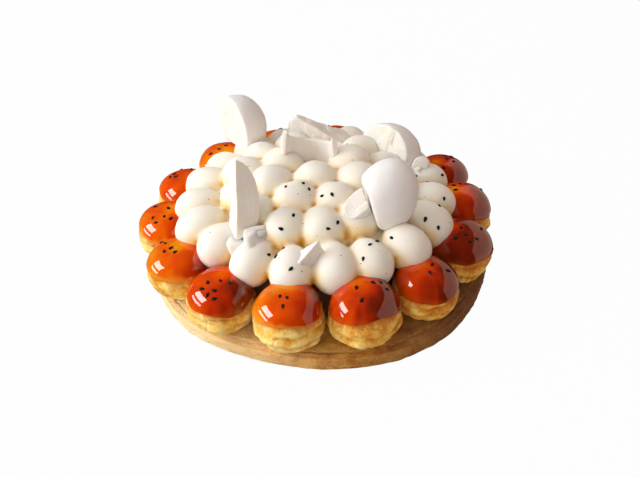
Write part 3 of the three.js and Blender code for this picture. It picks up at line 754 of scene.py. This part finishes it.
# Meringue: white meringue domes dried in the oven and snapped into pieces, which stand pushed into the cream.
# The outside is smooth and dry with small pits, the broken faces rough, crumbly and a little yellower.
MERINGUE = [
    dict(name="left_back", half=(20, 18, 22), at=(-52, 59, 64), turn=(0, -6, 0),
         breaks=[(-0.83, -0.55, 0.06, 3.5), (0, 0, -1, 14)], sharp=30),
    dict(name="left_slab", half=(17, 13, 27), at=(-46.6, -47.6, 69.4), turn=(-14, 3, 0),
         breaks=[(0.5, -0.86, 0.05, 1.5), (-0.5, 0.86, 0, 7), (-0.84, -0.54, 0.02, -1.2), (0.2, 0, -1, 20)]),
    dict(name="back_wedge", half=(30, 18, 26), at=(6, 57, 51), turn=(0, 0, 10),
         breaks=[(0.46, 0, 0.89, 11), (-0.5, -0.86, 0.1, 11), (0, 1, 0, 6), (-0.95, -0.3, 0, 20),
                 (0, 0, -1, 2)]),
    dict(name="right_back", half=(22.5, 21, 19), at=(48.5, 36, 53.5), turn=(0, 12, 0),
         breaks=[(-0.74, -0.62, 0.2, 6), (0, 0, -1, 5)], sharp=26),
    dict(name="right_dome", half=(18, 15, 24), at=(41, -37, 65.5), turn=(-14, 18, 0),
         breaks=[(-0.81, -0.13, -0.57, 11), (0, 0, -1, 17), (0, 1, 0, 4)], sharp=16),
    dict(name="dome_rim", half=(7.5, 6, 13), at=(25, -44.5, 65), turn=(0, 25, 0),
         breaks=[(0.75, 0.2, 0.63, 5.1), (-0.6, -0.7, 0.3, 3), (0, 0, -1, 10)]),
    dict(name="front_flake", half=(13.5, 10, 11), at=(-3, -71, 53), turn=(0, 0, 0),
         breaks=[(0.55, -0.83, 0.05, 4.6), (-0.6, -0.07, 0.8, 4.8), (0.1, 1, 0.2, 1), (0, 0, -1, 7)]),
    dict(name="right_chip", half=(6, 5, 6), at=(68.5, 17.5, 54.5), turn=(0, 20, 30),
         breaks=[(-0.6, -0.6, 0.5, 2.5), (0, 0, -1, 5)]),
]
SHELL = dict(name="middle_shell", half=(19.3, 18, 40), at=(-3.2, 6, 66), thick=3.4, front=7, foot=-9,
             top=21.18, slant=0.2, dip=0.81)
SHELL_STEPS = 96
SHELL_END_STEPS = 6
FINE_GRID_SHARD = 12
FULL_RELIEF_SHARD = 13
MERINGUE_YELLOWED = (0.84, 0.805, 0.72)
MERINGUE_WHITE = (0.87, 0.87, 0.87)
MERINGUE_CRUMB = (0.84, 0.825, 0.80)
EDGE_SHARPNESS = 44


def shard_frame(piece):
    """The turn of a piece: about Z first, then Y, then X."""
    x, y, z = np.radians(piece["turn"])
    return turned("X", x) @ turned("Y", y) @ turned("Z", z)


def shard_reach(piece, start, facing):
    """How far a ray from a point inside runs to the skin: the least of the distances to the egg and to each
    broken plane, joined by a power mean of high order so that edges are a little rounded. Also gives the
    share of that mean which belongs to broken planes."""
    half = np.array(piece["half"]) * MM
    square = ((facing / half) ** 2).sum(-1)
    along = (facing * start / half ** 2).sum(-1)
    inside = ((start / half) ** 2).sum() - 1
    egg = (-along + np.sqrt(along ** 2 - square * inside)) / square
    sharp = piece.get("sharp", EDGE_SHARPNESS)
    near = egg ** -sharp
    broken = np.zeros_like(near)
    for x, y, z, distance in piece["breaks"]:
        normal = np.array([x, y, z]) / np.linalg.norm([x, y, z])
        ahead = np.maximum(facing @ normal, 1e-9)
        broken = broken + ((distance * MM - start @ normal) / ahead) ** -sharp
    return (near + broken) ** (-1 / sharp), broken / (near + broken)


def shard_skin(piece, number):
    """A broken piece of a meringue egg on a grid of directions from its own middle, spread along its longest
    sides so that the grid is even, with crumbs and hollows on the broken faces and slight dents outside."""
    facing = ball(40, 60)
    start = np.zeros(3)
    reach, _ = shard_reach(piece, start, facing)
    weight = reach ** 3 * np.sqrt(1 - facing[..., 2] ** 2)
    start = (0.75 * (weight * reach)[..., None] * facing).sum((0, 1)) / weight.sum()
    reach, _ = shard_reach(piece, start, facing)
    weight = np.sqrt(1 - facing[..., 2] ** 2)
    place = (facing * reach[..., None]).reshape(-1, 3)
    stretch, axes = np.linalg.eigh((place * weight.reshape(-1, 1)).T @ place)
    axes = axes * np.sign(np.linalg.det(axes))
    rows, columns = (110, 168) if max(piece["half"]) > FINE_GRID_SHARD else (56, 84)
    facing = (ball(rows, columns) * np.sqrt(stretch)) @ axes.T
    facing = facing / np.linalg.norm(facing, axis=-1, keepdims=True)
    reach, broken = shard_reach(piece, start, facing)
    place = start + facing * reach[..., None]
    seed = 900 + 20 * number
    crumb = 0.4 * grain(place, 7 * MM, seed) + 0.2 * grain(place, 2.4 * MM, seed + 1)
    crumb = crumb + 0.1 * grain(place, 1.2 * MM, seed + 2)
    ledge = grain(place * [1, 1, 0.3], 7 * MM, seed + 5)
    crumb = crumb + 0.8 * rise_between(-0.05, 0.05, ledge) + 0.5 * rise_between(0.3, 0.4, ledge) - 0.6
    dent = 0.4 * grain(place, 9 * MM, seed + 3) + 0.12 * grain(place, 3 * MM, seed + 4)
    push = min(1, max(piece["half"]) / FULL_RELIEF_SHARD) * MM
    push = push * (broken * (crumb - 0.25) + (1 - broken) * dent)
    place = place + facing * push[..., None]
    return place @ shard_frame(piece).T + np.array(piece["at"]) * MM, broken


def shell_skin():
    """A curved wall left from a hollow egg: an upright strip with rounded edges carried round part of a turn.
    Its top edge slopes and is jagged, and it closes to a line at both ends."""
    half, at = np.array(SHELL["half"]) * MM, np.array(SHELL["at"]) * MM
    first = np.arcsin(SHELL["front"] * MM / half[1])
    swing = np.pad(np.linspace(np.pi - first, first, SHELL_STEPS), SHELL_END_STEPS, "edge")[:, None]
    ease = np.linspace(0, 1, SHELL_END_STEPS, endpoint=False)
    open_share = np.concatenate([ease, np.ones(SHELL_STEPS), ease[::-1]])[:, None]
    open_share = np.sqrt(1 - (1 - open_share) ** 2)
    bulge = np.concatenate([1 - ease, np.zeros(SHELL_STEPS), -(1 - ease[::-1])])[:, None]
    loop = whole_turn(SHELL_STEPS)
    across = np.sign(np.cos(loop)) * np.abs(np.cos(loop)) ** 0.35
    upward = np.sign(np.sin(loop)) * np.abs(np.sin(loop)) ** 0.35
    arc = round_axis(1, swing, 0) * half
    top = SHELL["top"] * MM - SHELL["slant"] * arc[..., 0] - SHELL["dip"] * arc[..., 1]
    top = top + 1.0 * MM * grain(arc, 6 * MM, 990) + 0.4 * MM * grain(arc, 2 * MM, 991)
    foot = SHELL["foot"] * MM
    height = (top + foot) / 2 + open_share * upward * (top - foot) / 2
    thin = SHELL["thick"] * MM * (0.5 - 0.5 * open_share * across)
    angle = swing + 0.05 * bulge
    outward = np.stack([np.cos(angle) / half[0], np.sin(angle) / half[1], 0 * angle], -1)
    outward = outward / np.linalg.norm(outward, axis=-1, keepdims=True)
    level = np.sqrt(1 - (height / half[2]) ** 2)
    place = np.stack([half[0] * level * np.cos(angle), half[1] * level * np.sin(angle), height], -1)
    rough = grain(place, 5 * MM, 992) * 0.3 + grain(place, 2 * MM, 993) * 0.14
    place = place + outward * (MM * rough * open_share - thin)[..., None]
    broken = np.clip(1.2 * np.abs(upward) ** 6 + 0 * swing + (1 - open_share), 0, 1)
    broken = np.maximum(broken, 0.6 * (across < 0))
    return place + at, broken


def meringue_finish():
    """Dry white skin with small pits, yellower and rougher where it is broken."""
    finish, tree, shader, here = finish_of("dry_meringue")
    broken = trait_of(tree, "broken")
    crumb = ramp(tree, noise(tree, here, 110.0, 4.0), (0.3, MERINGUE_YELLOWED), (0.6, MERINGUE_CRUMB))
    skin = use(tree, pores, here, Pores=420.0)
    feed(tree, shader, {
        "Base Color": mixed(tree, broken, MERINGUE_WHITE, crumb),
        "Normal": bumped(tree, skin["Relief"], 0.08 * MM, 0.6),
        "Roughness": spread(tree, broken, 0.0, 1.0, 0.5, 0.85),
        "Specular IOR Level": 0.3, "Subsurface Weight": 0.8,
        "Subsurface Radius": (1.0, 0.85, 0.7), "Subsurface Scale": 1.4 * MM})
    return finish


dry_white = meringue_finish()
shards = [(piece["name"], *shard_skin(piece, number)) for number, piece in enumerate(MERINGUE)]
for shard_name, shard_place, shard_broken in shards + [(SHELL["name"], *shell_skin())]:
    shard = wrapped(f"broken_meringue_{shard_name}", shard_place, broken=shard_broken)
    shard.data.materials.append(dry_white)
    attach(shard, "root")
    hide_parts(f"meringue_{shard_name}")

# Crumbs: chips of meringue that broke off where the pieces were pushed in, lying half sunk by their feet.
# They are the same dry white meringue, broken on every side.
CRUMB_HEAPS = [
    dict(middle=(-39, -54.5), spread=(7, 1.5), count=3, size=11),
    dict(middle=(63, 17), spread=(5, 4), count=4, size=3.2),
]
CHIP_FACES = 7
CHIP_ROUNDING = 16
CHIP_FLATNESS = [1, 0.75, 0.55]


def chip_skin(number, size):
    """A chip round its own middle: along each direction the nearest of a few drawn planes."""
    facing = ball(26, 40)
    key = CHIP_FACES * number + np.arange(CHIP_FACES)
    normal = np.stack([draw(key, 51), draw(key, 52), 0.8 * draw(key, 53)], -1)
    normal = np.concatenate([normal, -normal.sum(0, keepdims=True)])
    normal = normal / np.linalg.norm(normal, axis=-1, keepdims=True)
    away = 0.62 + 0.3 * np.abs(draw(np.arange(len(normal)) + 10 * number, 54))
    reach = np.minimum(away / np.maximum(facing @ normal.T, 1e-3), 1.3)
    reach = (reach ** -CHIP_ROUNDING).sum(-1) ** (-1 / CHIP_ROUNDING)
    place = facing * reach[..., None] * CHIP_FLATNESS * size
    place = place + facing * (0.3 * MM * grain(place, 3 * MM, 1200 + number))[..., None]
    return place @ (turned("Z", 3 * draw(number, 57)) @ turned("X", 0.7 * draw(number, 58))).T


def crumb_spots():
    """Spread of each heap by fixed draws, bigger chips first, every chip set down on the cream from above."""
    chips = []
    for heap in CRUMB_HEAPS:
        for k in range(heap["count"]):
            number = len(chips)
            x, y = np.array(heap["middle"]) + np.array(heap["spread"]) * [draw(number, 55), draw(number, 56)]
            size = MM * heap["size"] * (1 - 0.6 * k / heap["count"])
            found, spot, _, _ = cream.ray_cast(Vector((x * MM, y * MM, 0.2)), Vector((0, 0, -1)))
            if found:
                chips.append(chip_skin(number, size) + np.array(spot) + [0, 0, 0.1 * size])
    return np.stack(chips)


bpy.context.view_layer.update()
crumbs = wrapped("meringue_crumbs", crumb_spots(), broken=1.0)
crumbs.data.materials.append(dry_white)
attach(crumbs, "root")

# Sesame: black sesame seeds scattered by hand over the caramel and the cream, where they stick half sunk.
# Each is a small flat drop with one blunt and one pointed end, black to very dark brown, faintly shiny.
SEED_HALF = np.array([1.6, 0.95, 0.7]) * MM
SEED_SPACING = 4 * MM
SEED_COVER = 1.25
CAP_SEEDS = [3, 5, 3, 6, 4, 5, 2, 2, 2, 3, 5, 6, 5, 7]
CAP_SEED_DRAWS = 40
CAP_SEED_REACH = 0.7
CREAM_SEEDS = 38
CREAM_SEED_DRAWS = 320
CREAM_SEED_LOWEST = 46 * MM
CREAM_SEED_BARE_LINE = -30 * MM
CREAM_SEED_BARE_SHARE = 0.9
SEED_BLACK = (0.006, 0.005, 0.0045)
SEED_BROWN = (0.028, 0.018, 0.013)


def cap_seeds(puff):
    """Seeds of one cap: a loose cluster about a drawn spot, each kept off the cream and off the others."""
    kept = []
    key = puff.index * CAP_SEED_DRAWS + np.arange(CAP_SEED_DRAWS)
    x = 0.22 * draw(puff.index, 21) + 0.5 * draw(key, 23)
    y = 0.22 * draw(puff.index, 22) + 0.5 * draw(key, 24)
    share, turn = np.hypot(x, y), np.arctan2(y, x)

    def skin(share, turn):
        return settled(puff, turn, *crown_point(puff, share, cap_outside(share)))

    near = share < CAP_SEED_REACH
    key, share, turn = key[near], share[near], turn[near]
    place = skin(share, turn)
    step = 0.002
    edge = np.minimum(share + step, CAP_SEED_REACH)
    facing = np.cross(skin(share, turn + step) - place, skin(edge, turn) - place)
    facing = -facing / np.linalg.norm(facing, axis=-1, keepdims=True)
    facing = facing * np.sign(facing[:, 2:])
    free = np.min([blob_depth(blob, place) for blob in blobs], 0) >= SEED_COVER
    for k in np.flatnonzero(free):
        apart = all(np.linalg.norm(place[k] - other[0]) >= SEED_SPACING for other in kept)
        if apart and len(kept) < CAP_SEEDS[puff.index]:
            kept.append((place[k], facing[k], np.pi * draw(key[k], 25)))
    return kept


def meringue_depth(piece, place):
    """How deep places lie in the whole egg of a meringue piece: 1 on its skin."""
    frame_of = shard_frame(piece) if "turn" in piece else np.eye(3)
    local = (place - np.array(piece["at"]) * MM) @ frame_of / (np.array(piece["half"]) * MM)
    return np.linalg.norm(local, axis=-1)


def cream_seeds():
    """Seeds of the cream: draws over the eggs in turn, kept where the skin shows and is clear of meringue,
    hardly any left of the bare line, each set down on the cream along the line from the middle of its egg."""
    kept = []
    for k in range(CREAM_SEED_DRAWS):
        own = k % len(blobs)
        lift = 0.35 + 0.6 * abs(draw(k, 31))
        turn = np.pi * draw(k, 32)
        level = np.sqrt(1 - lift ** 2)
        place = blob_point(blobs[own], np.array([level * np.cos(turn), level * np.sin(turn), lift]))
        facing = place - blobs[own].middle
        facing = facing / np.linalg.norm(facing)
        buried = any(blob_depth(blob, place) < SEED_COVER for j, blob in enumerate(blobs) if j != own)
        hidden = any(meringue_depth(piece, place) < SEED_COVER for piece in MERINGUE + [SHELL])
        crowded = any(np.linalg.norm(place - other[3]) < SEED_SPACING for other in kept)
        bare = place[0] < CREAM_SEED_BARE_LINE and abs(draw(k, 34)) < CREAM_SEED_BARE_SHARE
        dropped = place[2] <= CREAM_SEED_LOWEST or buried or hidden or crowded or bare
        if len(kept) < CREAM_SEEDS and not dropped:
            found, spot, normal, _ = cream.ray_cast(Vector(place + SEED_SPACING * facing), Vector(-facing))
            if found:
                kept.append((np.array(spot), np.array(normal), np.pi * draw(k, 33), place))
    return kept


def seed_skins(spots):
    """Every seed as one grid: a flat drop, narrower towards one end, turned and laid on its spot."""
    facing = ball(8, 10)[..., [2, 0, 1]]
    width = 1 - 0.32 * facing[..., :1] - 0.12 * facing[..., :1] ** 2
    drop = facing * SEED_HALF * np.concatenate([np.ones_like(width), width, width], -1)
    skins, tints = [], []
    for number, (place, normal, heading, *_) in enumerate(spots):
        lay = np.array(Vector((0, 0, 1)).rotation_difference(Vector(normal)).to_matrix())
        size = 1 + 0.12 * draw(number, 41)
        skins.append(size * drop @ (lay @ turned("Z", heading)).T + place)
        tints.append(np.full(drop.shape[:2], 0.5 + 0.5 * draw(number, 42)))
    return np.stack(skins), np.stack(tints)


def seed_finish():
    """Black to dark brown by seed, with a faint fine ribbing and a dull shine."""
    finish, tree, shader, here = finish_of("black_sesame")
    feed(tree, shader, {
        "Base Color": mixed(tree, trait_of(tree, "tint"), SEED_BLACK, SEED_BROWN),
        "Normal": bumped(tree, noise(tree, here, 2600.0, 2.0), 0.06 * MM),
        "Roughness": 0.5, "Specular IOR Level": 0.15})
    return finish


seed_spots = [spot for puff in puffs for spot in cap_seeds(puff)] + cream_seeds()
seed_place, seed_tint = seed_skins(seed_spots)
sesame = wrapped("sesame_seeds", seed_place, tint=seed_tint)
sesame.data.materials.append(seed_finish())
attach(sesame, "root")

# Floor and light: a plain white table top, a tall two-pane window on the left, a pale ceiling and pale walls.
# Lights and floor are only the setting and are no part of the cake. The caramel mirrors the window and the
# wall on the right, and the floor is kept out of its gloss.
FLOOR_HALF = 3.0
WINDOW_TURN = np.radians(-84)
WINDOW_AWAY = 1.15
WINDOW_WIDE = 0.7
WINDOW_AIM = 0.03
WINDOW_TINT = (1.0, 0.99, 0.975)
WINDOW_PANES = [dict(name="upper_pane", rise=31, high=0.42, power=7.8),
                dict(name="lower_pane", rise=8, high=0.16, power=2.4)]
WALL_AIM = 0.05
WALLS = [
    dict(name="right_wall", place=(1.06, 0.28, 0.25), size=(3.0, 1.7), power=11.5, tint=(1.0, 0.69, 0.54)),
    dict(name="back_bounce", place=(0.1, 1.2, 0.6), size=(1.6, 0.9), power=2.4, tint=(1.0, 0.90, 0.82)),
    dict(name="front_bounce", place=(-0.4, -1.2, 0.65), size=(1.6, 1.2), power=9.6, tint=(1.0, 0.89, 0.80)),
    dict(name="ceiling", place=(-0.55, 0.3, 1.15), size=(1.2, 1.2), power=7.3, tint=(1.0, 0.965, 0.935)),
]
MIRRORED_WALL = "right_wall"


def floor_finish():
    """White, shown to the camera as almost evenly bright with a faint shadow."""
    finish, tree, shader, _ = finish_of("white_table")
    feed(tree, shader, {"Base Color": (0.6, 0.6, 0.6, 1), "Roughness": 0.9})
    glow = add(tree, "ShaderNodeEmission", {"Color": (1, 1, 1, 1), "Strength": 1.0}).outputs[0]
    seen = add(tree, "ShaderNodeLightPath", {}).outputs["Is Camera Ray"]
    plain = tree.nodes["Principled BSDF"].outputs[0]
    both = add(tree, "ShaderNodeMixShader", {0: sums(tree, "MULTIPLY", seen, 0.975), 1: plain, 2: glow})
    feed(tree, tree.nodes["Material Output"].inputs, {"Surface": both.outputs[0]})
    return finish


def flat_light(name, place, aim, size, power, tint, mirrored):
    """A rectangle of light that faces a height on the cake's axis, mirrored by the caramel or not."""
    light = bpy.data.lights.new(name, "AREA")
    light.shape = "RECTANGLE"
    light.size, light.size_y = size
    light.energy, light.color = power, tint
    lamp = bpy.data.objects.new(name, light)
    lamp.location = place
    lamp.rotation_euler = (Vector((0, 0, aim)) - lamp.location).to_track_quat("-Z", "Y").to_euler()
    lamp.visible_glossy = mirrored
    bpy.context.scene.collection.objects.link(lamp)


floor_mesh = bpy.data.meshes.new("table_top")
floor_corners = [(x * FLOOR_HALF, y * FLOOR_HALF, 0) for x, y in ((-1, -1), (1, -1), (1, 1), (-1, 1))]
floor_mesh.from_pydata(floor_corners, [], [(0, 1, 2, 3)])
floor = bpy.data.objects.new("table_top", floor_mesh)
bpy.context.scene.collection.objects.link(floor)
floor_mesh.materials.append(floor_finish())
floor.visible_glossy = False
for pane in WINDOW_PANES:
    pane_rise = np.radians(pane["rise"])
    pane_out = WINDOW_AWAY * np.cos(pane_rise)
    pane_at = (pane_out * np.sin(WINDOW_TURN), -pane_out * np.cos(WINDOW_TURN),
               WINDOW_AIM + WINDOW_AWAY * np.sin(pane_rise))
    flat_light(pane["name"], pane_at, WINDOW_AIM, (WINDOW_WIDE, pane["high"]), pane["power"],
               WINDOW_TINT, True)
for wall in WALLS:
    flat_light(aim=WALL_AIM, mirrored=wall["name"] == MIRRORED_WALL, **wall)

world = bpy.data.worlds.new("studio")
bpy.context.scene.world = world
world.use_nodes = True
sky = world.node_tree
look = add(sky, "ShaderNodeSeparateXYZ", {0: add(sky, "ShaderNodeTexCoord", {}).outputs["Generated"]})
feed(sky, sky.nodes["Background"].inputs, {
    "Color": (1, 1, 1, 1), "Strength": spread(sky, look.outputs["Y"], -0.6, 0.9, 0.015, 0.04)})

# Camera: a 45 mm lens above and in front of the cake, as far away as shows it at the photograph's size.
# It looks down on the middle of the cake with the photograph's slight roll.
CAMERA_RISE = np.radians(35.8)
CAMERA_AWAY = 0.5265
CAMERA_AIM = (0.0022, 0.0108)
CAMERA_ROLL = -0.026
camera_data = bpy.data.cameras.new("camera")
camera_data.lens = 45
camera_data.sensor_width = 36
camera = bpy.data.objects.new("camera", camera_data)
camera_at = Vector((CAMERA_AIM[0], -CAMERA_AWAY * np.cos(CAMERA_RISE),
                    CAMERA_AIM[1] + CAMERA_AWAY * np.sin(CAMERA_RISE)))
camera.matrix_world = (Matrix.Translation(camera_at) @ Matrix.Rotation(np.pi / 2 - CAMERA_RISE, 4, "X")
                       @ Matrix.Rotation(CAMERA_ROLL, 4, "Z"))
bpy.context.scene.collection.objects.link(camera)
bpy.context.scene.camera = camera
bpy.context.scene.view_settings.view_transform = "Standard"
